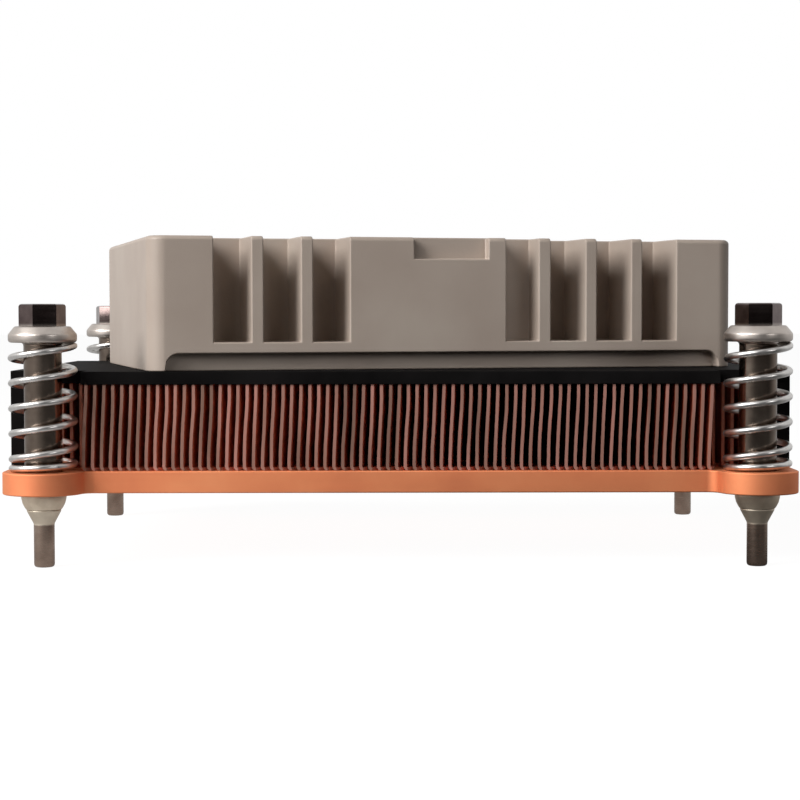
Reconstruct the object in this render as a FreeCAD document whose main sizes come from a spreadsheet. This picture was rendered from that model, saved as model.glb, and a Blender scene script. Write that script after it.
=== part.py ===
import FreeCAD, Part
import Sketcher
import math
import os
import re

# Passive heatsink for a server processor.
# A copper base plate carries a block of thin copper fins, an insulating film is
# folded over the fins, a moulded cap lies on the film, and four captive spring
# screws stand in the ears of the plate.
# Millimetres, +Z up, X along the long side, origin at the centre of the plate's
# underside, which is the face that meets the processor.

SIZES = {
    # Base plate
    "screw_spacing_x": 96.5,
    "screw_spacing_y": 68.6,
    "plate_thickness": 3.0,
    "ear_radius": 5.5,
    "ear_blend_radius": 1.6,
    "screw_hole_diameter": 5.5,
    # Fins
    "fin_screw_gap": 0.6,
    "fin_pitch": 1.21,
    "fin_thickness": 0.42,
    "fin_height": 13.2,
    "fin_flange_gap": 0.05,
    "fin_setback": 0.4,
    "end_fin_edge_gap": 0.2,
    "end_fin_pitch": 1.3,
    "end_fin_spring_gap": 0.9,
    # Insulating film
    "film_thickness": 0.25,
    "film_fit": 0.03,
    "film_flap_drop": 1.5,
    "film_end_gap": 0.15,
    # Cap
    "cap_spring_gap": 1.05,
    "cap_depth": 51.1,
    "cap_height": 18.4,
    "cap_corner_radius": 2.5,
    "cap_top_chamfer": 0.4,
    "cap_wall": 1.8,
    "cap_turn": 14.1,
    "cap_place_x": 1.0,
    "cap_place_y": 0.8,
    "pocket_width": 5.2,
    "pocket_depth": 9.0,
    "pocket_floor": 3.9,
    "pocket_end_distance": 11.55,
    "pocket_pitch": 6.9,
    "shallow_pocket_place": 10.4,
    "shallow_pocket_width": 4.8,
    "shallow_pocket_depth": 4.5,
    "notch_width": 10.8,
    "notch_height": 3.0,
    "notch_depth": 1.5,
    "undercut_height": 2.4,
    "undercut_depth": 2.0,
    "undercut_foot": 2.4,
    "undercut_radius": 1.8,
    # Captive screw
    "hex_across_flats": 5.5,
    "hex_height": 3.0,
    "hex_chamfer": 0.35,
    "flange_diameter": 9.2,
    "flange_neck_diameter": 7.4,
    "flange_height": 2.2,
    "flange_rim": 0.7,
    "shank_diameter": 5.1,
    "shank_length": 17.4,
    "groove_diameter": 3.8,
    "shoulder_diameter": 4.6,
    "shoulder_cone": 1.9,
    "pin_diameter": 2.8,
    "pin_length": 5.9,
    # Retainer under the plate
    "retainer_diameter": 6.0,
    "retainer_tip_diameter": 5.0,
    "retainer_height": 2.1,
    "retainer_fit": 0.05,
    "retainer_split": 1.0,
    # Spring
    "spring_diameter": 9.3,
    "spring_wire": 0.9,
    "spring_turns": 4.5,
    "spring_closed_pitch": 1.17,
    "spring_crown_turns": 0.2,
}

# As many fins as have room: between the springs, and from there to the plate's ends.
COUNTS = {
    "fin_count": "=floor((screw_spacing_x - spring_diameter - 2 * fin_screw_gap) / fin_pitch)",
    "end_fin_count": "=floor((screw_spacing_x / 2 + ear_radius - end_fin_edge_gap"
                     " - fin_count * fin_pitch / 2) / end_fin_pitch)",
}

doc = FreeCAD.newDocument("cpu_heatsink")
sheet = doc.addObject("Spreadsheet::Sheet", "Sizes")
for row, (alias, value) in enumerate((SIZES | COUNTS).items(), start=1):
    sheet.set("A%d" % row, alias.replace("_", " "))
    sheet.set("B%d" % row, str(value))
    sheet.setAlias("B%d" % row, alias)
doc.recompute()

CORNERS = {
    "front_left": (-1, -1),
    "front_right": (1, -1),
    "rear_left": (-1, 1),
    "rear_right": (1, 1),
}


def expression(text):
    """Turn bare size names into sheet references."""
    return re.sub(r"[a-z_]+", lambda word: sheet_name(word.group()), text)


def sheet_name(word):
    return "Sizes." + word if word in SIZES or word in COUNTS else word


def value_of(text):
    return float(sheet.evalExpression(expression(text)))


def bind(item, target, text):
    item.setExpression(target, expression(text))


def new_body(label):
    body = doc.addObject("PartDesign::Body", label)
    body.Label = label
    return body


def new_sketch(body, name, plane="XY_Plane", offset=None):
    """A sketch on one of the body's origin planes, moved along the plane's normal."""
    sketch = body.newObject("Sketcher::SketchObject", name)
    support = next(item for item in body.Origin.OriginFeatures if item.Role == plane)
    sketch.AttachmentSupport = [(support, "")]
    sketch.MapMode = "FlatFace"
    if offset is not None:
        bind(sketch, "AttachmentOffset.Base.z", offset)
    return sketch


def constrain(sketch, kind, places, text):
    index = sketch.addConstraint(Sketcher.Constraint(kind, *places, value_of(text)))
    sketch.setExpression("Constraints[%d]" % index, expression(text))


def pin_point(sketch, geometry, point, corner):
    """Tie a point of the sketch to the origin by two sheet expressions."""
    constrain(sketch, "DistanceX", (-1, 1, geometry, point), corner[0])
    constrain(sketch, "DistanceY", (-1, 1, geometry, point), corner[1])


def vector_of(corner):
    return FreeCAD.Vector(value_of(corner[0]), value_of(corner[1]), 0)


def outline(sketch, corners):
    """A closed outline of straight lines, every corner tied to the sheet."""
    points = [vector_of(corner) for corner in corners]
    count = len(points)
    first = sketch.GeometryCount
    for k in range(count):
        sketch.addGeometry(Part.LineSegment(points[k], points[(k + 1) % count]), False)
    for k in range(count):
        following = first + (k + 1) % count
        sketch.addConstraint(Sketcher.Constraint("Coincident", first + k, 2, following, 1))
        pin_point(sketch, first + k, 1, corners[k])


def rectangle(sketch, left, front, right, back):
    outline(sketch, [(left, front), (right, front), (right, back), (left, back)])


def circle(sketch, centre, diameter):
    index = sketch.GeometryCount
    radius = value_of(diameter) / 2
    sketch.addGeometry(Part.Circle(vector_of(centre), FreeCAD.Vector(0, 0, 1), radius), False)
    pin_point(sketch, index, 3, centre)
    constrain(sketch, "Diameter", (index,), diameter)


def pad(body, sketch, name, length, reverse=False, both_sides=False):
    feature = body.newObject("PartDesign::Pad", name)
    feature.Profile = sketch
    feature.Reversed = reverse
    feature.Midplane = both_sides
    bind(feature, "Length", length)
    body.Tip = feature
    doc.recompute()
    return feature


def pocket(body, sketch, name, length, reverse=False):
    """Cut along the sketch's normal when reversed, against it when not."""
    feature = body.newObject("PartDesign::Pocket", name)
    feature.Profile = sketch
    feature.Reversed = reverse
    bind(feature, "Length", length)
    body.Tip = feature
    doc.recompute()
    return feature


def dress(body, kind, name, base, wanted, target, text):
    """A fillet or chamfer on the edges that the test picks."""
    names = []
    for number, edge in enumerate(base.Shape.Edges, start=1):
        if wanted(edge):
            names.append("Edge%d" % number)
    feature = body.newObject("PartDesign::" + kind, name)
    feature.Base = (base, names)
    bind(feature, target, text)
    body.Tip = feature
    doc.recompute()
    return feature


def is_vertical(edge):
    start, end = edge.Vertexes[0].Point, edge.Vertexes[-1].Point
    return abs(start.z - end.z) > 1e-3 and start.sub(end).cross(FreeCAD.Vector(0, 0, 1)).Length < 1e-3


def lies_at(edge, height):
    box = edge.BoundBox
    return abs(box.ZMin - height) < 1e-4 and abs(box.ZMax - height) < 1e-4


# Base plate: one milled copper plate whose four ears are rounded about the screws.

def make_base_plate():
    body = new_body("base_plate")
    sketch = new_sketch(body, "plate_outline")
    side = "screw_spacing_x / 2 + ear_radius"
    inner = "screw_spacing_x / 2 - ear_radius"
    edge = "screw_spacing_y / 2"
    ring = [("-(%s)" % side, "-(%s)" % edge), ("-(%s)" % inner, "-(%s)" % edge),
            (inner, "-(%s)" % edge), (side, "-(%s)" % edge),
            (side, edge), (inner, edge), ("-(%s)" % inner, edge), ("-(%s)" % side, edge)]
    points = [vector_of(corner) for corner in ring]
    radius = FreeCAD.Vector(0, value_of("ear_radius"), 0)
    # Even stretches are the ears' half rounds, odd ones the straight edges.
    for k in range(8):
        start, end = points[k], points[(k + 1) % 8]
        if k % 2 == 0:
            middle = (start + end) * 0.5
            outwards = radius if start.y > 0 else -radius
            sketch.addGeometry(Part.Arc(start, middle + outwards, end), False)
        else:
            sketch.addGeometry(Part.LineSegment(start, end), False)
    for k in range(8):
        sketch.addConstraint(Sketcher.Constraint("Coincident", k, 2, (k + 1) % 8, 1))
    for k in range(1, 8, 2):
        pin_point(sketch, k, 1, ring[k])
        pin_point(sketch, k, 2, ring[(k + 1) % 8])
    for k in range(0, 8, 2):
        constrain(sketch, "DistanceY", (-1, 1, k, 3), ring[k][1])
    plate = pad(body, sketch, "plate", "plate_thickness")

    place = value_of("screw_spacing_x / 2 - ear_radius")

    def is_ear_root(line):
        return is_vertical(line) and abs(abs(line.Vertexes[0].X) - place) < 1e-3

    dress(body, "Fillet", "ear_blends", plate, is_ear_root, "Radius", "ear_blend_radius")
    holes = new_sketch(body, "screw_holes")
    for x_side, y_side in CORNERS.values():
        centre = ("%d * screw_spacing_x / 2" % x_side, "%d * screw_spacing_y / 2" % y_side)
        circle(holes, centre, "screw_hole_diameter")
    pocket(body, holes, "holes", "plate_thickness", reverse=True)
    return body


# Fins: each one is a thin copper stamping, a web with a foot and a head folded
# over towards the next fin, so that the stack spaces itself.

CENTRE_STACK_EDGE = "(fin_count * fin_pitch / 2)"
END_STACK_EDGE = "(fin_count * fin_pitch / 2 + end_fin_count * end_fin_pitch)"
CENTRE_STACK_DEPTH = "(screw_spacing_y / 2 - fin_setback)"
END_STACK_DEPTH = "(screw_spacing_y / 2 - spring_diameter / 2 - end_fin_spring_gap)"
FIN_TOP = "(plate_thickness + fin_height)"
FILM_TOP = "(plate_thickness + fin_height + film_thickness)"


def make_fin_stack(label, left, pitch, count, half_depth):
    body = new_body(label)
    profile = new_sketch(body, label + "_profile", "XZ_Plane")
    web = left + " + fin_thickness"
    tip = "%s + %s - fin_flange_gap" % (left, pitch)
    low = "plate_thickness"
    outline(profile, [
        (left, low), (tip, low), (tip, low + " + fin_thickness"), (web, low + " + fin_thickness"),
        (web, FIN_TOP + " - fin_thickness"), (tip, FIN_TOP + " - fin_thickness"),
        (tip, FIN_TOP), (left, FIN_TOP),
    ])
    fin = pad(body, profile, label + "_fin", "2 * " + half_depth, both_sides=True)
    row = body.newObject("PartDesign::LinearPattern", label + "_row")
    row.Originals = [fin]
    row.Direction = (profile, ["H_Axis"])
    bind(row, "Length", "%s * (%s - 1)" % (pitch, count))
    bind(row, "Occurrences", count)
    body.Tip = row
    doc.recompute()
    return body


def make_fins():
    return [
        make_fin_stack("fin_stack_centre", "-1 * " + CENTRE_STACK_EDGE, "fin_pitch", "fin_count",
                       CENTRE_STACK_DEPTH),
        make_fin_stack("fin_stack_left", "-1 * " + END_STACK_EDGE, "end_fin_pitch", "end_fin_count",
                       END_STACK_DEPTH),
        make_fin_stack("fin_stack_right", CENTRE_STACK_EDGE, "end_fin_pitch", "end_fin_count",
                       END_STACK_DEPTH),
    ]


# Insulating film: one cut and folded sheet over the fins, with short flaps at the
# front and back and full flaps over both ends.

def film_outline(sketch, stand_off):
    """The plan of the fin block, a wide band between the screws and a deep centre."""
    end_x = END_STACK_EDGE + stand_off
    end_y = END_STACK_DEPTH + stand_off
    mid_x = CENTRE_STACK_EDGE + stand_off
    mid_y = CENTRE_STACK_DEPTH + stand_off
    plan = [(end_x, end_y, -1, -1), (mid_x, end_y, -1, -1), (mid_x, mid_y, -1, -1),
            (mid_x, mid_y, 1, -1), (mid_x, end_y, 1, -1), (end_x, end_y, 1, -1),
            (end_x, end_y, 1, 1), (mid_x, end_y, 1, 1), (mid_x, mid_y, 1, 1),
            (mid_x, mid_y, -1, 1), (mid_x, end_y, -1, 1), (end_x, end_y, -1, 1)]
    outline(sketch, [("%d * (%s)" % (sx, x), "%d * (%s)" % (sy, y)) for x, y, sx, sy in plan])


def make_insulating_film():
    body = new_body("insulating_film")
    outside = new_sketch(body, "film_outside", offset=FILM_TOP)
    film_outline(outside, " + film_fit + film_thickness")
    pad(body, outside, "film_block", "film_thickness + film_flap_drop", reverse=True)
    inside = new_sketch(body, "film_inside", offset=FIN_TOP)
    film_outline(inside, " + film_fit")
    pocket(body, inside, "film_room_for_fins", "film_flap_drop")
    flaps = new_sketch(body, "film_end_flaps", offset=FIN_TOP + " - film_flap_drop")
    near = "(%s + film_fit)" % END_STACK_EDGE
    far = "(%s + film_fit + film_thickness)" % END_STACK_EDGE
    edge = "(%s + film_fit + film_thickness)" % END_STACK_DEPTH
    rectangle(flaps, near, "-1 * " + edge, far, edge)
    rectangle(flaps, "-1 * " + far, "-1 * " + edge, "-1 * " + near, edge)
    pad(body, flaps, "film_ends", "fin_height - film_flap_drop - film_end_gap", reverse=True)
    return body


# Cap: a moulded cover that rests on the film, turned a little as it was put down.
# Laid straight, it fits between the springs. It has upright pockets in its long
# faces, a notch at the middle of the top edge, an undercut between its corner feet
# and a plain hollow underneath.

CAP_END = "(screw_spacing_x / 2 - spring_diameter / 2 - cap_spring_gap)"
OUTER_POCKET = "(%s - pocket_end_distance)" % CAP_END


def mirrored_to_back(body, name, features):
    mirror = body.newObject("PartDesign::Mirrored", name)
    mirror.Originals = features
    plane = next(item for item in body.Origin.OriginFeatures if item.Role == "XZ_Plane")
    mirror.MirrorPlane = (plane, [""])
    body.Tip = mirror
    doc.recompute()
    return mirror


def make_cap():
    body = new_body("cap")
    plan = new_sketch(body, "cap_plan")
    rectangle(plan, "-1 * " + CAP_END, "-cap_depth / 2", CAP_END, "cap_depth / 2")
    block = pad(body, plan, "cap_block", "cap_height")
    rounded = dress(body, "Fillet", "cap_corners", block, is_vertical, "Radius", "cap_corner_radius")
    top = value_of("cap_height")
    dress(body, "Chamfer", "cap_top_edge", rounded, lambda edge: lies_at(edge, top), "Size",
          "cap_top_chamfer")

    front = "-(cap_depth / 2 + cap_wall)"
    deep = new_sketch(body, "cap_pocket_plan", offset="pocket_floor")
    for side in (-1, 1):
        for step in range(3):
            place = "%d * (%s - %d * pocket_pitch)" % (side, OUTER_POCKET, step)
            rectangle(deep, place + " - pocket_width / 2", front, place + " + pocket_width / 2",
                      "-(cap_depth / 2 - pocket_depth)")
    deep_cut = pocket(body, deep, "cap_pockets", "cap_height", reverse=True)

    shallow = new_sketch(body, "cap_shallow_pocket_plan", offset="pocket_floor")
    rectangle(shallow, "shallow_pocket_place - shallow_pocket_width / 2", front,
              "shallow_pocket_place + shallow_pocket_width / 2",
              "-(cap_depth / 2 - shallow_pocket_depth)")
    shallow_cut = pocket(body, shallow, "cap_shallow_pocket", "cap_height", reverse=True)

    notch = new_sketch(body, "cap_notch_plan", offset="cap_height - notch_height")
    rectangle(notch, "-notch_width / 2", front, "notch_width / 2", "-(cap_depth / 2 - notch_depth)")
    notch_cut = pocket(body, notch, "cap_notch", "2 * notch_height", reverse=True)

    undercut = new_sketch(body, "cap_undercut_face", "XZ_Plane", offset="cap_depth / 2 + cap_wall")
    foot = "(%s - undercut_foot)" % CAP_END
    rectangle(undercut, "-1 * " + foot, "-undercut_height", foot, "undercut_height")
    under = pocket(body, undercut, "cap_undercut", "undercut_depth + cap_wall")

    both = mirrored_to_back(body, "cap_back", [deep_cut, shallow_cut, notch_cut, under])
    reach = value_of(foot)
    height = value_of("undercut_height")

    def is_undercut_corner(edge):
        start, end = edge.Vertexes[0].Point, edge.Vertexes[-1].Point
        along_y = abs(start.x - end.x) < 1e-4 and abs(start.z - end.z) < 1e-4
        return along_y and abs(start.z - height) < 1e-3 and abs(abs(start.x) - reach) < 1e-3

    dress(body, "Fillet", "cap_undercut_ends", both, is_undercut_corner, "Radius", "undercut_radius")

    hollow = new_sketch(body, "cap_hollow_plan")
    side = "(%s - cap_wall - undercut_foot)" % CAP_END
    depth = "(cap_depth / 2 - pocket_depth - cap_wall)"
    rectangle(hollow, "-1 * " + side, "-1 * " + depth, side, depth)
    pocket(body, hollow, "cap_hollow", "cap_height - cap_wall", reverse=True)

    body.Placement = FreeCAD.Placement(FreeCAD.Vector(0, 0, value_of(FILM_TOP)),
                                       FreeCAD.Rotation(FreeCAD.Vector(0, 0, 1), value_of("cap_turn")))
    bind(body, "Placement.Base.x", "cap_place_x")
    bind(body, "Placement.Base.y", "cap_place_y")
    bind(body, "Placement.Base.z", FILM_TOP)
    bind(body, "Placement.Rotation.Angle", "cap_turn")
    return body


# Captive screws: turned steel, a hex head on a domed flange, a plain shank through
# the plate, a groove for the retainer, a shoulder, and the pin that screws down.

def stand_at_corner(body, corner):
    x_side, y_side = CORNERS[corner]
    bind(body, "Placement.Base.x", "%d * screw_spacing_x / 2" % x_side)
    bind(body, "Placement.Base.y", "%d * screw_spacing_y / 2" % y_side)


def turned(body, name, sketch):
    feature = body.newObject("PartDesign::Revolution", name)
    feature.Profile = sketch
    feature.ReferenceAxis = (sketch, ["V_Axis"])
    feature.Angle = 360
    body.Tip = feature
    doc.recompute()
    return feature


FLANGE_BOTTOM = "(plate_thickness + shank_length)"
GROOVE_END = "(retainer_height + retainer_fit)"


def make_screw(corner):
    name = "screw_" + corner
    body = new_body(name)
    flange_top = FLANGE_BOTTOM + " + flange_height"
    cone_end = "(%s + shoulder_cone)" % GROOVE_END
    pin_end = "(%s + shoulder_cone + pin_length)" % GROOVE_END
    half = new_sketch(body, name + "_half_section", "XZ_Plane")
    outline(half, [
        ("0", "-1 * " + pin_end),
        ("pin_diameter / 2", "-1 * " + pin_end),
        ("pin_diameter / 2", "-1 * " + cone_end),
        ("shoulder_diameter / 2", "-1 * " + GROOVE_END),
        ("groove_diameter / 2", "-1 * " + GROOVE_END),
        ("groove_diameter / 2", "0"),
        ("shank_diameter / 2", "0"),
        ("shank_diameter / 2", FLANGE_BOTTOM),
        ("flange_diameter / 2", FLANGE_BOTTOM),
        ("flange_diameter / 2", FLANGE_BOTTOM + " + flange_rim"),
        ("flange_neck_diameter / 2", flange_top),
        ("0", flange_top),
    ])
    turned(body, name + "_turning", half)
    hexagon = new_sketch(body, name + "_hex", offset=flange_top)
    corners = []
    for k in range(6):
        reach = "hex_across_flats / 2 / cos(30deg)"
        corners.append(("%s * cos(%ddeg)" % (reach, 60 * k), "%s * sin(%ddeg)" % (reach, 60 * k)))
    outline(hexagon, corners)
    head = pad(body, hexagon, name + "_head", "hex_height")
    top = value_of(flange_top + " + hex_height")
    dress(body, "Chamfer", name + "_head_edge", head, lambda edge: lies_at(edge, top), "Size",
          "hex_chamfer")
    stand_at_corner(body, corner)
    return body


# Springs: round wire wound over the shank between the plate and the flange, with
# a closed turn at the foot and a short flat end under the flange. The wire is swept
# as a six-sided bar along a path of short straight steps, which keeps its faces few.

def spring_height(turn):
    """Height of the wire's centre after so many turns from the foot."""
    wire = value_of("spring_wire")
    closed = value_of("spring_closed_pitch")
    turns = value_of("spring_turns")
    foot = value_of("plate_thickness") + wire / 2
    crown = value_of(FLANGE_BOTTOM) - wire / 2
    if turn <= 1:
        return foot + closed * turn
    if turn >= turns + 1:
        return crown
    return foot + closed + (crown - foot - closed) * (turn - 1) / turns


def make_spring(corner):
    steps_per_turn = 9
    sides = 6
    wire = value_of("spring_wire")
    radius = (value_of("spring_diameter") - wire) / 2
    steps = round((1 + value_of("spring_turns + spring_crown_turns")) * steps_per_turn)
    path = []
    for step in range(steps + 1):
        turn = step / steps_per_turn
        angle = math.pi + 2 * math.pi * turn
        path.append(FreeCAD.Vector(radius * math.cos(angle), radius * math.sin(angle),
                                   spring_height(turn)))
    section = []
    for k in range(sides + 1):
        angle = math.radians(360 * k / sides + 90)
        section.append(path[0] + FreeCAD.Vector(math.cos(angle), 0, math.sin(angle)) * (wire / 2))
    mitred = 1
    spring = doc.addObject("Part::Feature", "spring_" + corner)
    spring.Label = "spring_" + corner
    wound = Part.makePolygon(path).makePipeShell([Part.makePolygon(section)], True, False, mitred)
    spring.Shape = wound
    stand_at_corner(spring, corner)
    return spring


# Retainers: split steel collars snapped into the screws' grooves under the plate.

def make_retainer(corner):
    name = "retainer_" + corner
    body = new_body(name)
    half = new_sketch(body, name + "_half_section", "XZ_Plane")
    bore = "groove_diameter / 2 + retainer_fit"
    outline(half, [
        (bore, "-retainer_height"), ("retainer_tip_diameter / 2", "-retainer_height"),
        ("retainer_diameter / 2", "0"), (bore, "0"),
    ])
    turned(body, name + "_collar", half)
    slit = new_sketch(body, name + "_slit")
    rectangle(slit, "0", "-retainer_split / 2", "retainer_diameter", "retainer_split / 2")
    pocket(body, slit, name + "_split", "retainer_height")
    stand_at_corner(body, corner)
    return body


bodies = [make_base_plate()] + make_fins() + [make_insulating_film(), make_cap()]
for corner in CORNERS:
    bodies += [make_screw(corner), make_spring(corner), make_retainer(corner)]
doc.recompute()

for item in doc.Objects:
    if "Invalid" in item.State or "Error" in item.State:
        raise RuntimeError("%s did not build: %s" % (item.Label, item.State))
for body in bodies:
    if body.Shape.isNull() or not body.Shape.isValid():
        raise RuntimeError(body.Label + " has no valid shape")

os.makedirs("parts", exist_ok=True)
for body in bodies:
    box = body.Shape.BoundBox
    print("%-22s solids %2d  volume %9.1f  z %6.2f to %6.2f" % (
        body.Label, len(body.Shape.Solids), body.Shape.Volume, box.ZMin, box.ZMax))
    body.Shape.exportStep("parts/%s.step" % body.Label)
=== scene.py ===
import bpy
import bmesh
import math
from mathutils import Matrix, Vector


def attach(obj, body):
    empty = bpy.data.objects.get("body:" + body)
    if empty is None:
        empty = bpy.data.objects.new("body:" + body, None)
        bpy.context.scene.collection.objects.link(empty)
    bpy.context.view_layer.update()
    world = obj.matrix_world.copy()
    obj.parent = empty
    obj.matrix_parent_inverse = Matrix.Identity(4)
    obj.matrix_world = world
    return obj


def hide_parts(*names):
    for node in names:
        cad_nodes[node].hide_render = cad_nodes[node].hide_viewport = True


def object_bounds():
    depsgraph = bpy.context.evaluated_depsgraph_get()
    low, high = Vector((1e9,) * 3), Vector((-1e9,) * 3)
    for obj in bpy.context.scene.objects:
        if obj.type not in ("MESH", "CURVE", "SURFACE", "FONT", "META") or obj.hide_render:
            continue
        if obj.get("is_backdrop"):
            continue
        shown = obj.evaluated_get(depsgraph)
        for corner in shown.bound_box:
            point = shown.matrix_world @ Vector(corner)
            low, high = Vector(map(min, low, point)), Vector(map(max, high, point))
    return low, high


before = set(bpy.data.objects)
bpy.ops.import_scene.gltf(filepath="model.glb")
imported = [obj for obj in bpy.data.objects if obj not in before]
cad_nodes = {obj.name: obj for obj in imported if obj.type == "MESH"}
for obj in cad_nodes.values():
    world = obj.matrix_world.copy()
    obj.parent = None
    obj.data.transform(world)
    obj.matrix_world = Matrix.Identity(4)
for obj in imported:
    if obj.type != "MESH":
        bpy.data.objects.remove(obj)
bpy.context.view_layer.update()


# Base plate: one slab of copper, milled flat, with its four ears milled round and
# its edges broken by hand, so the corners catch the light. The fins are soldered on
# its top and the screws hang in its four holes.

plate_top = 0.003
plate_edge_radius = 0.00018


def placed(name, data):
    """A new object that shows this data, in the scene."""
    holder = bpy.data.objects.new(name, data)
    bpy.context.scene.collection.objects.link(holder)
    return holder


def rounded_copy(node, name, radius, segments):
    """A copy of the CAD node's own shape, with its sharp edges rounded over."""
    same_point, flat_angle, sharp_angle = 2e-6, math.radians(0.5), math.radians(32)
    work = bmesh.new()
    work.from_mesh(cad_nodes[node].data)
    bmesh.ops.remove_doubles(work, verts=work.verts, dist=same_point)
    bmesh.ops.dissolve_limit(work, angle_limit=flat_angle, verts=work.verts, edges=work.edges)
    for face in work.faces:
        face.smooth = True
    mesh = bpy.data.meshes.new(name)
    work.to_mesh(mesh)
    work.free()
    piece = placed(name, mesh)
    rounding = piece.modifiers.new("rounded_edges", "BEVEL")
    rounding.limit_method = "ANGLE"
    rounding.angle_limit = sharp_angle
    rounding.width = radius
    rounding.segments = segments
    rounding.use_clamp_overlap = False
    shading = piece.modifiers.new("true_flats", "WEIGHTED_NORMAL")
    shading.mode = "FACE_AREA"
    shading.weight = 50
    return plain_mesh(piece, name)


def plain_mesh(maker, name):
    """The evaluated shape of an object as a piece of its own, with no modifier left."""
    graph = bpy.context.evaluated_depsgraph_get()
    mesh = bpy.data.meshes.new_from_object(maker.evaluated_get(graph), depsgraph=graph)
    bpy.data.objects.remove(maker)
    mesh.name = name
    return placed(name, mesh)


def new_finish(name, **values):
    """A material with its plain shader values set on the shader's own sockets."""
    finish = bpy.data.materials.new(name)
    finish.use_nodes = True
    shader = finish.node_tree.nodes["Principled BSDF"]
    for socket, value in values.items():
        shader.inputs[socket.replace("_", " ")].default_value = value
    return finish, finish.node_tree, shader


def object_noise(tree, scale, detail, stretch=(1, 1, 1)):
    """Noise that is fixed to the object, at so many cells per metre."""
    place = tree.nodes.new("ShaderNodeTexCoord")
    mapping = tree.nodes.new("ShaderNodeMapping")
    mapping.inputs["Scale"].default_value = stretch
    noise = tree.nodes.new("ShaderNodeTexNoise")
    noise.inputs["Scale"].default_value = scale
    noise.inputs["Detail"].default_value = detail
    tree.links.new(place.outputs["Object"], mapping.inputs["Vector"])
    tree.links.new(mapping.outputs["Vector"], noise.inputs["Vector"])
    return noise.outputs["Fac"]


def colour_ramp(tree, value, stops):
    """Colours that follow a value, from (place, colour) stops."""
    ramp = tree.nodes.new("ShaderNodeValToRGB")
    while len(ramp.color_ramp.elements) < len(stops):
        ramp.color_ramp.elements.new(0.5)
    for element, (place, colour) in zip(ramp.color_ramp.elements, stops):
        element.position = place
        element.color = (*colour, 1)
    tree.links.new(value, ramp.inputs["Fac"])
    return ramp.outputs["Color"]


def number_range(tree, value, low, high, from_low=0.0, from_high=1.0):
    """A value stretched from one range to another and kept inside it."""
    spread = tree.nodes.new("ShaderNodeMapRange")
    spread.inputs["From Min"].default_value = from_low
    spread.inputs["From Max"].default_value = from_high
    spread.inputs["To Min"].default_value = low
    spread.inputs["To Max"].default_value = high
    tree.links.new(value, spread.inputs["Value"])
    return spread.outputs["Result"]


def relief(tree, shader, height, depth, strength):
    """Fine marks that only the light shows, so many metres deep."""
    bump = tree.nodes.new("ShaderNodeBump")
    bump.inputs["Strength"].default_value = strength
    bump.inputs["Distance"].default_value = depth
    tree.links.new(height, bump.inputs["Height"])
    tree.links.new(bump.outputs["Normal"], shader.inputs["Normal"])


milled_copper, tree, shader = new_finish("milled_copper", Metallic=1.0)
patches = object_noise(tree, 90, detail=4)
copper_colour = colour_ramp(tree, patches, [
    (0.25, (0.74, 0.262, 0.127)), (0.5, (0.82, 0.315, 0.15)), (0.75, (0.88, 0.375, 0.183))])
tree.links.new(copper_colour, shader.inputs["Base Color"])
mill_marks = object_noise(tree, 900, detail=5, stretch=(0.06, 1, 1))
tree.links.new(number_range(tree, mill_marks, 0.60, 0.74), shader.inputs["Roughness"])
relief(tree, shader, mill_marks, 0.00003, 0.6)

base_plate = rounded_copy("base_plate", "milled_base_plate", plate_edge_radius, 4)
base_plate.data.materials.append(milled_copper)
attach(base_plate, "root")
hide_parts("base_plate")


# Fins: 87 stampings of thin copper sheet, each with a foot and a head folded over
# to the next one, soldered at the feet. Being thin, no two stand quite straight, and
# those between the screws all lean a little, with their feet to the left.

fin_low, fin_high = plate_top, 0.0162
fin_sheet = 0.00042
fold_radius = 0.00055
fold_tip_gap = 0.00005
fold_corner_cut = 0.0009
centre_fins = dict(count=71, pitch=0.00121, half_depth=0.0339, edge_tarnish_and_painted_glow=1.0,
                   bow=0.00008, wave=0.00058, lean=0.00043)
# The end fins' cut edges take less of the dark edge colour: a painted red glow, standing for light
# bounced between the copper and the springs.
end_fins = dict(count=8, pitch=0.0013, half_depth=0.02875, edge_tarnish_and_painted_glow=0.4,
                bow=0.000024, wave=0.0, lean=0.0)
centre_half_width = centre_fins["count"] * centre_fins["pitch"] / 2
end_width = end_fins["count"] * end_fins["pitch"]


def fin_line(inset):
    """The fin's section from the foot's tip to the head's tip, so far inside its face."""
    radius = fold_radius - inset
    foot_turn = [math.radians(270 - 30 * step) for step in range(4)]
    head_turn = [math.radians(180 - 30 * step) for step in range(4)]
    points = [(None, fin_low + inset)]
    points += [(fold_radius + radius * math.cos(angle), fin_low + fold_radius + radius * math.sin(angle))
               for angle in foot_turn]
    points += [(inset, fin_low + (fin_high - fin_low) * step / 8) for step in range(1, 8)]
    points += [(fold_radius + radius * math.cos(angle), fin_high - fold_radius + radius * math.sin(angle))
               for angle in head_turn]
    points.append((None, fin_high - inset))
    return points


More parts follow.
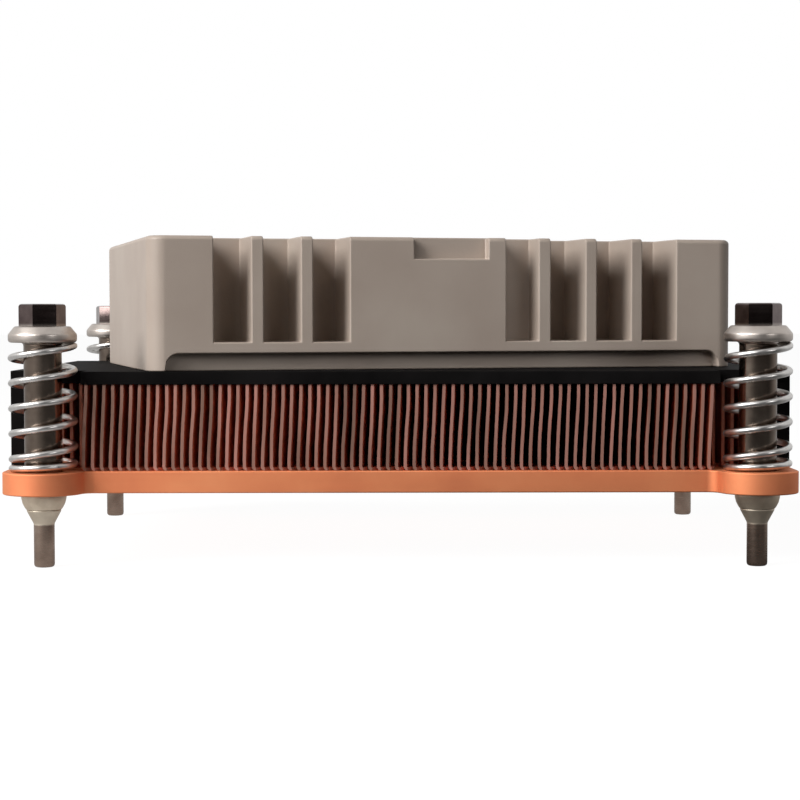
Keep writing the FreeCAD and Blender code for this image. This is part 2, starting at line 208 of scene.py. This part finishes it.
def fin_stamping(name, fins):
    """One fin with its web at x = 0, its folds towards +x and its cut ends marked with their share of
    tarnish, smaller on the end fins, where it paints a red glow.
    """
    half_depth = fins["half_depth"]
    tip = fins["pitch"] - fold_tip_gap
    outer = [(tip if x is None else x, z) for x, z in fin_line(0.0)]
    inner = [(tip if x is None else x, z) for x, z in fin_line(fin_sheet)]
    stations = [half_depth * step / 10 for step in range(-10, 11)]
    vertices, faces = [], []
    count = len(outer)
    for y in stations:
        tip_y = max(min(y, half_depth - fold_corner_cut), fold_corner_cut - half_depth)
        vertices += [(x, tip_y if x == tip else y, z) for x, z in outer + inner]
    ring = 2 * count
    for s in range(len(stations) - 1):
        a, b = s * ring, (s + 1) * ring
        for k in range(count - 1):
            faces.append((a + k, a + k + 1, b + k + 1, b + k))
            faces.append((a + count + k + 1, a + count + k, b + count + k, b + count + k + 1))
        faces.append((a + count, a, b, b + count))
        faces.append((a + count - 1, a + ring - 1, b + ring - 1, b + count - 1))
    last = (len(stations) - 1) * ring
    for k in range(count - 1):
        faces.append((k + 1, k, count + k, count + k + 1))
        faces.append((last + k, last + k + 1, last + count + k + 1, last + count + k))
    mesh = bpy.data.meshes.new(name)
    mesh.from_pydata(vertices, [], faces)
    cut_edge = mesh.attributes.new("cut_edge", "FLOAT", "FACE")
    for face in mesh.polygons[-2 * (count - 1):]:
        cut_edge.data[face.index].value = fins["edge_tarnish_and_painted_glow"]
    work = bmesh.new()
    work.from_mesh(mesh)
    bmesh.ops.recalc_face_normals(work, faces=work.faces)
    work.to_mesh(mesh)
    work.free()
    return bpy.data.objects.new(name, mesh)


def fin_row_tree(finish):
    """Repeats a stamping along X, bows each by its own amount and leans them all."""
    noise_between_fins, noise_along, noise_up, noise_gain = 3.17, 22.0, 130.0, 5.0
    wave_end, wave_fade = 0.0425, 90.0
    lean_top, lean_reach = 0.88, 0.85
    tree = bpy.data.node_groups.new("fin_row", "GeometryNodeTree")
    sockets = {}
    for name, kind in (("Stamping", "Object"), ("Count", "Int"), ("Pitch", "Float"), ("First", "Float"),
                       ("Bow", "Float"), ("Wave", "Float"), ("Lean", "Float"), ("Half depth", "Float"),
                       ("Seed", "Float")):
        sockets[name] = tree.interface.new_socket(name, in_out="INPUT", socket_type="NodeSocket" + kind)
    tree.interface.new_socket("Geometry", in_out="OUTPUT", socket_type="NodeSocketGeometry")
    node = tree.nodes.new
    link = tree.links.new
    given = node("NodeGroupInput").outputs

    def math_of(operation, a, b=None, c=None):
        sum_node = node("ShaderNodeMath")
        sum_node.operation = operation
        for place, value in enumerate((a, b, c)):
            if value is None:
                continue
            if isinstance(value, (int, float)):
                sum_node.inputs[place].default_value = value
            else:
                link(value, sum_node.inputs[place])
        return sum_node.outputs[0]

    step = node("ShaderNodeCombineXYZ")
    link(given["Pitch"], step.inputs["X"])
    start = node("ShaderNodeCombineXYZ")
    link(given["First"], start.inputs["X"])
    line = node("GeometryNodeMeshLine")
    line.mode = "OFFSET"
    link(given["Count"], line.inputs["Count"])
    link(start.outputs[0], line.inputs["Start Location"])
    link(step.outputs[0], line.inputs["Offset"])
    stamping = node("GeometryNodeObjectInfo")
    link(given["Stamping"], stamping.inputs["Object"])
    row = node("GeometryNodeInstanceOnPoints")
    link(line.outputs["Mesh"], row.inputs["Points"])
    link(stamping.outputs["Geometry"], row.inputs["Instance"])
    number = node("GeometryNodeStoreNamedAttribute")
    number.data_type = "FLOAT"
    number.domain = "INSTANCE"
    number.inputs["Name"].default_value = "fin_number"
    link(row.outputs["Instances"], number.inputs["Geometry"])
    link(node("GeometryNodeInputIndex").outputs[0], number.inputs["Value"])
    real = node("GeometryNodeRealizeInstances")
    link(number.outputs["Geometry"], real.inputs["Geometry"])

    which = node("GeometryNodeInputNamedAttribute")
    which.data_type = "FLOAT"
    which.inputs["Name"].default_value = "fin_number"
    split = node("ShaderNodeSeparateXYZ")
    link(node("GeometryNodeInputPosition").outputs[0], split.inputs[0])
    x, y, z = split.outputs
    # The folds at foot and head hold a fin, and its middle is free.
    up = math_of("DIVIDE", math_of("SUBTRACT", z, fin_low), fin_high - fin_low)
    slow = math_of("SINE", math_of("MULTIPLY", up, math.pi))
    place = node("ShaderNodeCombineXYZ")
    link(math_of("MULTIPLY_ADD", which.outputs[0], noise_between_fins, given["Seed"]), place.inputs["X"])
    link(math_of("MULTIPLY", y, noise_along), place.inputs["Y"])
    link(math_of("MULTIPLY", z, noise_up), place.inputs["Z"])
    noise = node("ShaderNodeTexNoise")
    noise.noise_dimensions = "3D"
    noise.inputs["Scale"].default_value = 1.0
    noise.inputs["Detail"].default_value = 1.0
    link(place.outputs[0], noise.inputs["Vector"])
    own = math_of("MULTIPLY", math_of("SUBTRACT", noise.outputs[0], 0.5), noise_gain)
    own = math_of("MULTIPLY", math_of("MULTIPLY", own, slow), given["Bow"])
    # All swing together from front to back, less and less towards the end fins.
    inside = math_of("MULTIPLY", math_of("SUBTRACT", wave_end, math_of("ABSOLUTE", x)), wave_fade)
    inside = math_of("MINIMUM", math_of("MAXIMUM", inside, 0.0), 1.0)
    swing = math_of("SINE", math_of("MULTIPLY", math_of("DIVIDE", y, given["Half depth"]), 2 * math.pi))
    shared = math_of("MULTIPLY", math_of("MULTIPLY", swing, given["Wave"]), inside)
    # The lean goes from one side under the head to the other at the foot.
    below = math_of("DIVIDE", math_of("SUBTRACT", lean_top, up), lean_reach)
    below = math_of("MINIMUM", math_of("MAXIMUM", below, 0.0), 1.0)
    pushed = math_of("MULTIPLY", math_of("COSINE", math_of("MULTIPLY", below, math.pi)), given["Lean"])
    bend = node("ShaderNodeCombineXYZ")
    link(math_of("MULTIPLY_ADD", pushed, 0.5, math_of("ADD", own, shared)), bend.inputs["X"])
    moved = node("GeometryNodeSetPosition")
    link(real.outputs[0], moved.inputs["Geometry"])
    link(bend.outputs[0], moved.inputs["Offset"])
    paint = node("GeometryNodeSetMaterial")
    paint.inputs["Material"].default_value = finish
    link(moved.outputs[0], paint.inputs["Geometry"])
    link(paint.outputs[0], node("NodeGroupOutput").inputs[0])
    return tree, {name: socket.identifier for name, socket in sockets.items()}


def node_built(name, tree, values):
    """An object whose whole shape comes from a node tree, made a plain mesh."""
    maker = placed(name, bpy.data.meshes.new(name))
    modifier = maker.modifiers.new("made_by_nodes", "NODES")
    modifier.node_group = tree
    for identifier, value in values.items():
        modifier[identifier] = value
    return plain_mesh(maker, name)


fin_copper, tree, shader = new_finish("fin_copper")
tarnish = object_noise(tree, 420, detail=2, stretch=(1, 0.12, 0.12))
sheet_face = colour_ramp(tree, tarnish, [
    (0.25, (0.54, 0.16, 0.09)), (0.55, (0.65, 0.21, 0.12)), (0.8, (0.75, 0.28, 0.17))])
sheared_edge = colour_ramp(tree, tarnish, [
    (0.32, (0.25, 0.136, 0.10)), (0.5, (0.39, 0.196, 0.149)), (0.68, (0.54, 0.255, 0.205))])
edge = tree.nodes.new("ShaderNodeAttribute")
edge.attribute_name = "cut_edge"
# Cut edges take the darker tarnish colour by their share; the end fins' smaller share lightens theirs
# into a painted red glow.
both = tree.nodes.new("ShaderNodeMix")
both.data_type = "RGBA"
tree.links.new(edge.outputs["Fac"], both.inputs[0])
tree.links.new(sheet_face, both.inputs[6])
tree.links.new(sheared_edge, both.inputs[7])
tree.links.new(both.outputs[2], shader.inputs["Base Color"])
tree.links.new(number_range(tree, edge.outputs["Fac"], 0.25, 0.45), shader.inputs["Metallic"])
tree.links.new(number_range(tree, edge.outputs["Fac"], 0.38, 0.60), shader.inputs["Roughness"])

fin_tree, fin_inputs = fin_row_tree(fin_copper)
for name, node_name, fins, first, seed in (
        ("stamped_fins_centre", "fin_stack_centre", centre_fins, -centre_half_width, 0.0),
        ("stamped_fins_left", "fin_stack_left", end_fins, -centre_half_width - end_width, 300.0),
        ("stamped_fins_right", "fin_stack_right", end_fins, centre_half_width, 600.0)):
    stamping = fin_stamping("single_fin", fins)
    fins_piece = node_built(name, fin_tree, {
        fin_inputs["Stamping"]: stamping,
        fin_inputs["Count"]: fins["count"],
        fin_inputs["Pitch"]: fins["pitch"],
        fin_inputs["First"]: first,
        fin_inputs["Bow"]: fins["bow"],
        fin_inputs["Wave"]: fins["wave"],
        fin_inputs["Lean"]: fins["lean"],
        fin_inputs["Half depth"]: fins["half_depth"],
        fin_inputs["Seed"]: seed,
    })
    bpy.data.objects.remove(stamping)
    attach(fins_piece, "root")
    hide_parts(node_name)


# Insulating film: one sheet of black polyester, die cut and creased over the fins,
# with short flaps down the front and back and full flaps over both ends. Four narrow
# black strips in the film's finish stand against the outermost end fins at the corners.

film_crease_radius = 0.0001
strip_inner_x, strip_outer_x = 0.0516, 0.0535
strip_back_y, strip_front_y = 0.02878, 0.02903
strip_low, strip_high = 0.00318, 0.0149

black_film, tree, shader = new_finish("black_film", Roughness=0.6, Specular_IOR_Level=0.01)
haze = object_noise(tree, 160, detail=3)
tree.links.new(colour_ramp(tree, haze, [(0.3, (0.006, 0.0055, 0.0055)), (0.7, (0.011, 0.010, 0.010))]),
               shader.inputs["Base Color"])
relief(tree, shader, object_noise(tree, 70, detail=1), 0.0002, 0.25)

film = rounded_copy("insulating_film", "creased_film", film_crease_radius, 2)
film.data.materials.append(black_film)
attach(film, "root")
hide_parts("insulating_film")

strip_size = Matrix.Diagonal((strip_outer_x - strip_inner_x, strip_front_y - strip_back_y, strip_high - strip_low, 1))
strip_work = bmesh.new()
for x_side in (-1, 1):
    for y_side in (-1, 1):
        middle = ((strip_inner_x + strip_outer_x) / 2 * x_side, (strip_back_y + strip_front_y) / 2 * y_side,
                  (strip_low + strip_high) / 2)
        bmesh.ops.create_cube(strip_work, size=1.0, matrix=Matrix.Translation(middle) @ strip_size)
strip_mesh = bpy.data.meshes.new("film_corner_tabs")
strip_work.to_mesh(strip_mesh)
strip_work.free()
corner_strips = placed("film_corner_tabs", strip_mesh)
corner_strips.data.materials.append(black_film)
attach(corner_strips, "root")


# Cap: one moulding in warm grey plastic, matt from a textured mould, with upright
# pockets in its long faces and a hollow underneath. It only lies on the film, a
# little turned, held by nothing.

cap_edge_radius = 0.0002

taupe_plastic, tree, shader = new_finish("taupe_plastic", Roughness=0.46, Specular_IOR_Level=0.42)
mottle = object_noise(tree, 75, detail=4)
cap_colour = colour_ramp(tree, mottle, [
    (0.3, (0.455, 0.37, 0.31)), (0.55, (0.50, 0.415, 0.35)), (0.75, (0.53, 0.45, 0.38))])
tree.links.new(cap_colour, shader.inputs["Base Color"])
grain = object_noise(tree, 4200, detail=2)
relief(tree, shader, grain, 0.00004, 0.35)

cap = rounded_copy("cap", "moulded_cap", cap_edge_radius, 3)
cap.data.materials.append(taupe_plastic)
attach(cap, "root")
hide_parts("cap")


# Captive screws: turned from steel bar with a hex head on a domed flange, a plain
# shank, a groove for the retainer, a cone and the pin that screws down. The shanks
# are bare, the flanges rubbed bright and the heads dark, each at its own angle.

screw_spacing_x, screw_spacing_y = 0.0965, 0.0686
screw_corners = [(x_side * screw_spacing_x / 2, y_side * screw_spacing_y / 2)
                 for y_side in (-1, 1) for x_side in (-1, 1)]
screw_turns = [16.0, -4.5, -12.0, 17.0]
pin_radius, pin_tip = 0.0014, -0.00995
cone_radius, cone_low, cone_high = 0.0023, -0.00405, -0.00235
groove_radius, groove_low = 0.0019, -0.00215
shank_radius = 0.00255
flange_radius, flange_low, flange_edge = 0.0046, 0.0204, 0.0215
dome_radius, dome_top = 0.0037, 0.0226
head_top, head_across_flats, head_edge = 0.0256, 0.0055, 0.00035
turned_edge_radius = 0.0005


def skin(work, rings):
    """Faces between rings that follow one another, and one over each end that isn't a point."""
    for low, high in zip(rings, rings[1:]):
        for k in range(max(len(low), len(high))):
            corners = (low[k % len(low)], low[(k + 1) % len(low)],
                       high[(k + 1) % len(high)], high[k % len(high)])
            work.faces.new(list(dict.fromkeys(corners)))
    for end in (rings[0], rings[-1]):
        if len(end) > 1:
            work.faces.new(end)


def turned_piece(profile, steps):
    """A closed turned shape from its half section, listed from the lower end up."""
    work = bmesh.new()
    rings = []
    for radius, height in profile:
        if radius == 0.0:
            rings.append([work.verts.new((0, 0, height))])
            continue
        rings.append([work.verts.new((radius * math.cos(2 * math.pi * k / steps),
                                      radius * math.sin(2 * math.pi * k / steps), height))
                      for k in range(steps)])
    skin(work, rings)
    return work


def soft_corner(before, corner, after, radius):
    """Points that round one corner of a half section, on less than half of each side."""
    steps = 4
    side_share = 0.49
    before, corner, after = Vector(before), Vector(corner), Vector(after)
    into, out = (before - corner).normalized(), (after - corner).normalized()
    half = into.angle(out) / 2
    shorter_side = min((before - corner).length, (after - corner).length)
    reach = min(radius / math.tan(half), shorter_side * side_share)
    start, end = corner + into * reach, corner + out * reach
    points = []
    for step in range(steps + 1):
        t = step / steps
        points.append(tuple(start * (1 - t) ** 2 + corner * 2 * t * (1 - t) + end * t ** 2))
    return points


def softened(profile, radius):
    """A half section with all its corners rounded, apart from the two on the axis."""
    points = [profile[0]]
    for before, corner, after in zip(profile, profile[1:], profile[2:]):
        points += soft_corner(before, corner, after, radius)
    points.append(profile[-1])
    return points


def at_corners_tree(name, finish):
    """Puts a finished shape at each point of the maker, turned by the point's own angle."""
    tree = bpy.data.node_groups.new(name, "GeometryNodeTree")
    tree.interface.new_socket("Corners", in_out="INPUT", socket_type="NodeSocketGeometry")
    shape = tree.interface.new_socket("Shape", in_out="INPUT", socket_type="NodeSocketObject")
    tree.interface.new_socket("Geometry", in_out="OUTPUT", socket_type="NodeSocketGeometry")
    given = tree.nodes.new("NodeGroupInput").outputs
    info = tree.nodes.new("GeometryNodeObjectInfo")
    tree.links.new(given["Shape"], info.inputs["Object"])
    turn = tree.nodes.new("GeometryNodeInputNamedAttribute")
    turn.data_type = "FLOAT"
    turn.inputs["Name"].default_value = "turn"
    angles = tree.nodes.new("ShaderNodeCombineXYZ")
    tree.links.new(turn.outputs[0], angles.inputs["Z"])
    stand = tree.nodes.new("GeometryNodeInstanceOnPoints")
    tree.links.new(given["Corners"], stand.inputs["Points"])
    tree.links.new(info.outputs["Geometry"], stand.inputs["Instance"])
    tree.links.new(angles.outputs[0], stand.inputs["Rotation"])
    real = tree.nodes.new("GeometryNodeRealizeInstances")
    tree.links.new(stand.outputs["Instances"], real.inputs["Geometry"])
    paint = tree.nodes.new("GeometryNodeSetMaterial")
    paint.inputs["Material"].default_value = finish
    tree.links.new(real.outputs[0], paint.inputs["Geometry"])
    tree.links.new(paint.outputs[0], tree.nodes.new("NodeGroupOutput").inputs[0])
    return tree, shape.identifier


def four_of(shape, name, tree, shape_input, turns):
    """The four copies at the ears as one piece."""
    mesh = bpy.data.meshes.new(name)
    mesh.from_pydata([(x, y, 0) for x, y in screw_corners], [], [])
    angle = mesh.attributes.new("turn", "FLOAT", "POINT")
    for k, degrees in enumerate(turns):
        angle.data[k].value = math.radians(degrees)
    maker = placed(name, mesh)
    modifier = maker.modifiers.new("at_the_ears", "NODES")
    modifier.node_group = tree
    modifier[shape_input] = shape
    piece = plain_mesh(maker, name)
    bpy.data.objects.remove(shape)
    return piece


def shape_from(work, name):
    """An object from the worked shape, smooth but for its sharp edges."""
    sharp_angle = math.radians(38)
    mesh = bpy.data.meshes.new(name)
    bmesh.ops.recalc_face_normals(work, faces=work.faces)
    for face in work.faces:
        face.smooth = True
    for edge in work.edges:
        if len(edge.link_faces) == 2 and edge.calc_face_angle() > sharp_angle:
            edge.smooth = False
    work.to_mesh(mesh)
    work.free()
    return bpy.data.objects.new(name, mesh)


def hex_head(work, low, high, across_flats, edge):
    """Six flats with narrow rounded corners and a chamfered top, standing on the flange."""
    apothem = across_flats / 2
    corner_turn = 3.2
    within_source = 0.995
    levels = [(0.0, low), (0.0, high - edge), (edge * 0.3, high - edge * 0.3), (edge, high)]
    rings = []
    for inset, height in levels:
        ring = []
        reach = (apothem - inset) / math.cos(math.radians(30))
        for corner in range(6):
            for offset in (-corner_turn, 0.0, corner_turn):
                angle = math.radians(60 * corner + offset)
                pull = 1.0 if offset == 0.0 else (
                    math.cos(math.radians(30)) / math.cos(math.radians(abs(offset) - 30)))
                radius = reach * pull * within_source
                ring.append(work.verts.new((radius * math.cos(angle), radius * math.sin(angle), height)))
        rings.append(ring)
    skin(work, rings)


dull_steel, tree, shader = new_finish("dull_steel", Metallic=1.0)
plating = object_noise(tree, 420, detail=4)
bare = colour_ramp(tree, plating, [
    (0.3, (0.155, 0.118, 0.095)), (0.55, (0.22, 0.173, 0.14)), (0.8, (0.30, 0.243, 0.20))])
oxide = colour_ramp(tree, plating, [
    (0.3, (0.08, 0.055, 0.053)), (0.55, (0.13, 0.096, 0.09)), (0.8, (0.21, 0.165, 0.153))])
worn_pin = colour_ramp(tree, plating, [
    (0.3, (0.26, 0.186, 0.147)), (0.55, (0.35, 0.258, 0.206)), (0.8, (0.44, 0.343, 0.28))])
pale_cone = colour_ramp(tree, plating, [
    (0.3, (0.58, 0.50, 0.40)), (0.55, (0.70, 0.61, 0.49)), (0.8, (0.82, 0.73, 0.60))])
rubbed = colour_ramp(tree, plating, [
    (0.3, (0.50, 0.44, 0.40)), (0.55, (0.60, 0.54, 0.49)), (0.8, (0.70, 0.63, 0.58))])
place = tree.nodes.new("ShaderNodeTexCoord")
height = tree.nodes.new("ShaderNodeSeparateXYZ")
tree.links.new(place.outputs["Object"], height.inputs[0])
lathe_marks = object_noise(tree, 3000, detail=2, stretch=(0.05, 0.05, 1))
# From the pin up, each finish takes over between two heights, with its own roughness.
colour = worn_pin
rough = number_range(tree, lathe_marks, 0.22, 0.32)
for start, end, colour_above, low, high in ((-0.0043, -0.0041, pale_cone, 0.42, 0.58),
                                            (-0.0019, -0.0017, bare, 0.13, 0.22),
                                            (0.0202, 0.0204, rubbed, 0.32, 0.44),
                                            (0.0224, 0.0230, oxide, 0.13, 0.23)):
    share = number_range(tree, height.outputs["Z"], 0.0, 1.0, start, end)
    rough_above = number_range(tree, lathe_marks, low, high)
    for kind, first_input, below, above in (("RGBA", 6, colour, colour_above),
                                            ("FLOAT", 2, rough, rough_above)):
        both = tree.nodes.new("ShaderNodeMix")
        both.data_type = kind
        tree.links.new(share, both.inputs[0])
        tree.links.new(below, both.inputs[first_input])
        tree.links.new(above, both.inputs[first_input + 1])
        if kind == "RGBA":
            colour = both.outputs[2]
        else:
            rough = both.outputs[0]
tree.links.new(colour, shader.inputs["Base Color"])
tree.links.new(rough, shader.inputs["Roughness"])
relief(tree, shader, lathe_marks, 0.00002, 0.15)

turning = softened([
    (0.0, pin_tip), (pin_radius, pin_tip), (pin_radius, cone_low), (cone_radius, cone_high),
    (cone_radius, groove_low), (groove_radius, groove_low), (groove_radius, 0.0), (shank_radius, 0.0),
    (shank_radius, flange_low), (flange_radius, flange_low), (flange_radius, flange_edge),
    (dome_radius, dome_top), (0.0, dome_top),
], turned_edge_radius)
screw_work = turned_piece(turning, 64)
hex_head(screw_work, dome_top, head_top, head_across_flats, head_edge)
screw_shape = shape_from(screw_work, "screw_shape")
screw_tree, screw_input = at_corners_tree("screws_at_ears", dull_steel)
screws = four_of(screw_shape, "captive_screws", screw_tree, screw_input, screw_turns)
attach(screws, "root")
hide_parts("screw_front_left", "screw_front_right", "screw_rear_left", "screw_rear_right")


# Springs: bright round wire wound over each shank, with a closed turn at the foot
# and a short flat end under the flange. They push the screws up off the board.

spring_radius = 0.0042
wire_radius = 0.00045
closed_turn_rise = 0.00117
working_turns = 4.5
flat_end_turns = 0.2


def spring_height(turn):
    """Height of the wire's centre after so many turns from the plate."""
    foot, crown = plate_top + wire_radius, flange_low - wire_radius
    if turn <= 1:
        return foot + closed_turn_rise * turn
    if turn >= 1 + working_turns:
        return crown
    return foot + closed_turn_rise + (crown - foot - closed_turn_rise) * (turn - 1) / working_turns


def wound_wire(steps_per_turn, sides):
    """The wire of one spring, wound upwards from the plate."""
    nearby = 0.02
    work = bmesh.new()
    rings = []
    steps = round((1 + working_turns + flat_end_turns) * steps_per_turn)
    for step in range(steps + 1):
        turn = step / steps_per_turn
        angle = math.pi + 2 * math.pi * turn
        centre = Vector((spring_radius * math.cos(angle), spring_radius * math.sin(angle),
                         spring_height(turn)))
        out = Vector((math.cos(angle), math.sin(angle), 0))
        rise = (spring_height(turn + nearby) - spring_height(max(turn - nearby, 0))) / (2 * nearby)
        along = Vector((-math.sin(angle) * 2 * math.pi * spring_radius,
                        math.cos(angle) * 2 * math.pi * spring_radius, rise)).normalized()
        up = along.cross(out).normalized()
        rings.append([work.verts.new(centre + out * wire_radius * math.cos(2 * math.pi * k / sides)
                                     + up * wire_radius * math.sin(2 * math.pi * k / sides))
                      for k in range(sides)])
    skin(work, rings)
    return work


spring_wire, tree, shader = new_finish("spring_wire", Metallic=1.0)
draw_marks = object_noise(tree, 900, detail=3)
tree.links.new(colour_ramp(tree, draw_marks, [(0.3, (0.58, 0.56, 0.54)), (0.7, (0.76, 0.74, 0.715))]),
               shader.inputs["Base Color"])
tree.links.new(number_range(tree, draw_marks, 0.24, 0.36), shader.inputs["Roughness"])

spring_shape = shape_from(wound_wire(40, 14), "spring_shape")
spring_tree, spring_input = at_corners_tree("springs_at_ears", spring_wire)
springs = four_of(spring_shape, "wound_springs", spring_tree, spring_input, [0.0, 0.0, 0.0, 0.0])
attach(springs, "root")
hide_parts("spring_front_left", "spring_front_right", "spring_rear_left",
            "spring_rear_right")


# Retainers: split steel collars, turned round and tapering, then slit. They are
# snapped into the screws' grooves under the plate, so that the screws can't fall out.

collar_bore_radius = 0.00195
collar_depth = 0.0021
collar_belly = [(0.0030, 0.0), (0.00306, -0.00025), (0.0030, -0.0007), (0.00285, -0.0013),
                (0.0026, -0.0018), (0.0024, -collar_depth)]
slit_half_width = 0.0005


def split_collar(steps):
    """A tapered collar with a narrow slit, open on the +x side."""
    section = [(collar_bore_radius, 0.0)] + collar_belly + [(collar_bore_radius, -collar_depth)]
    gap = math.asin(slit_half_width / collar_belly[0][0])
    work = bmesh.new()
    rings = []
    for step in range(steps + 1):
        angle = gap + (2 * math.pi - 2 * gap) * step / steps
        rings.append([work.verts.new((radius * math.cos(angle), radius * math.sin(angle), height))
                      for radius, height in section])
    skin(work, rings)
    return work


collar_steel, tree, shader = new_finish("collar_steel", Metallic=1.0)
scale_marks = object_noise(tree, 600, detail=4)
tree.links.new(colour_ramp(tree, scale_marks, [(0.3, (0.64, 0.53, 0.405)), (0.7, (0.84, 0.725, 0.58))]),
               shader.inputs["Base Color"])
tree.links.new(number_range(tree, scale_marks, 0.44, 0.60), shader.inputs["Roughness"])

collar_shape = shape_from(split_collar(56), "collar_shape")
collar_tree, collar_input = at_corners_tree("collars_at_ears", collar_steel)
collars = four_of(collar_shape, "split_collars", collar_tree, collar_input, [40.0, 60.0, 100.0, 150.0])
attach(collars, "root")
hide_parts("retainer_front_left", "retainer_front_right", "retainer_rear_left",
            "retainer_rear_right")


# White table: a plain white floor under the pins and a white room, lit by one soft
# light from the left and two weak ones. In the metal's reflections the room and the
# floor are dark towards the front, on the camera's side, which gives its dark facets.

floor_height = -0.00998
floor_reach = 3.0
dark_side = (0.42, -0.9, 0.0)
floor_mesh = bpy.data.meshes.new("floor")
floor_mesh.from_pydata([(x_side * floor_reach, y_side * floor_reach, floor_height)
                        for x_side, y_side in ((-1, -1), (1, -1), (1, 1), (-1, 1))], [], [(0, 1, 2, 3)])
floor = placed("floor", floor_mesh)
white_floor = bpy.data.materials.new("white_floor")
white_floor.use_nodes = True
tree = white_floor.node_tree
shader = tree.nodes["Principled BSDF"]
shader.inputs["Base Color"].default_value = (0.12, 0.12, 0.12, 1)
shader.inputs["Roughness"].default_value = 1.0
shader.inputs["Specular IOR Level"].default_value = 0.0
rays = tree.nodes.new("ShaderNodeLightPath")


def side_level(tree, direction, towards, far_side, near_side, far_level, near_level):
    """Brightness that goes from one level to another as a direction turns towards one side."""
    unit = tree.nodes.new("ShaderNodeVectorMath")
    unit.operation = "NORMALIZE"
    tree.links.new(direction, unit.inputs[0])
    facing = tree.nodes.new("ShaderNodeVectorMath")
    facing.operation = "DOT_PRODUCT"
    facing.inputs[1].default_value = Vector(towards).normalized()
    tree.links.new(unit.outputs[0], facing.inputs[0])
    return number_range(tree, facing.outputs["Value"], far_level, near_level, far_side, near_side)


floor_place = tree.nodes.new("ShaderNodeTexCoord")
mirrored = tree.nodes.new("ShaderNodeMath")
mirrored.operation = "MULTIPLY"
tree.links.new(side_level(tree, floor_place.outputs["Object"], dark_side, 0.35, 0.85, 0.45, 0.03),
               mirrored.inputs[1])
tree.links.new(rays.outputs["Is Glossy Ray"], mirrored.inputs[0])
lift = tree.nodes.new("ShaderNodeMath")
lift.operation = "MULTIPLY_ADD"
lift.inputs[1].default_value = 0.965
tree.links.new(rays.outputs["Is Camera Ray"], lift.inputs[0])
tree.links.new(mirrored.outputs[0], lift.inputs[2])
shader.inputs["Emission Color"].default_value = (1, 1, 1, 1)
tree.links.new(lift.outputs[0], shader.inputs["Emission Strength"])
floor_mesh.materials.append(white_floor)
floor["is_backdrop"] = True

room = bpy.data.worlds.new("white_room")
bpy.context.scene.world = room
room.use_nodes = True
tree = room.node_tree
tree.nodes.clear()
link = tree.links.new
rays = tree.nodes.new("ShaderNodeLightPath")
direction = tree.nodes.new("ShaderNodeTexCoord").outputs["Generated"]
glossy_or_plain = tree.nodes.new("ShaderNodeMix")
glossy_or_plain.data_type = "FLOAT"
link(rays.outputs["Is Glossy Ray"], glossy_or_plain.inputs[0])
link(side_level(tree, direction, (-0.2, 0.1, 1.0), 0.1, 0.95, 0.005, 0.05), glossy_or_plain.inputs[2])
link(side_level(tree, direction, dark_side, 0.35, 0.85, 0.75, 0.02), glossy_or_plain.inputs[3])
clear = tree.nodes.new("ShaderNodeMath")
clear.operation = "MAXIMUM"
link(rays.outputs["Is Camera Ray"], clear.inputs[0])
link(rays.outputs["Is Transmission Ray"], clear.inputs[1])
level = tree.nodes.new("ShaderNodeMix")
level.data_type = "FLOAT"
level.inputs[3].default_value = 1.0
link(clear.outputs[0], level.inputs[0])
link(glossy_or_plain.outputs[0], level.inputs[2])
background = tree.nodes.new("ShaderNodeBackground")
background.inputs["Color"].default_value = (1, 1, 1, 1)
link(level.outputs[0], background.inputs["Strength"])
link(background.outputs[0], tree.nodes.new("ShaderNodeOutputWorld").inputs["Surface"])


def soft_light(name, place, size, power):
    """A square light that faces the middle of the heatsink."""
    middle = (0, 0, 0.015)
    lamp = bpy.data.lights.new(name, "AREA")
    lamp.shape = "SQUARE"
    lamp.size = size
    lamp.energy = power
    holder = placed(name, lamp)
    holder.location = place
    holder.rotation_euler = (Vector(middle) - Vector(place)).to_track_quat("-Z", "Y").to_euler()


soft_light("window_left", (-0.434, -0.316, 0.325), 0.34, 4.25)
soft_light("window_front", (-0.21, -0.56, 0.26), 0.16, 0.34)
soft_light("fill_right", (0.37, -0.50, 0.20), 0.20, 0.45)

picture_width_pixels, focal_length_pixels = 800, 1974
camera_place = (-0.0012, -0.3005, 0.0242)
camera_swing, camera_tilt, camera_roll = -0.236, 87.5, -0.08
camera_data = bpy.data.cameras.new("camera")
camera_data.sensor_width = 36.0
camera_data.lens = camera_data.sensor_width * focal_length_pixels / picture_width_pixels
camera_data.clip_start, camera_data.clip_end = 0.01, 20
camera = placed("camera", camera_data)
camera.matrix_world = (Matrix.Translation(camera_place)
                       @ Matrix.Rotation(math.radians(camera_swing), 4, "Z")
                       @ Matrix.Rotation(math.radians(camera_tilt), 4, "X")
                       @ Matrix.Rotation(math.radians(camera_roll), 4, "Z"))
bpy.context.scene.camera = camera
bpy.context.scene.view_settings.view_transform = "Standard"

low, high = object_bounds()
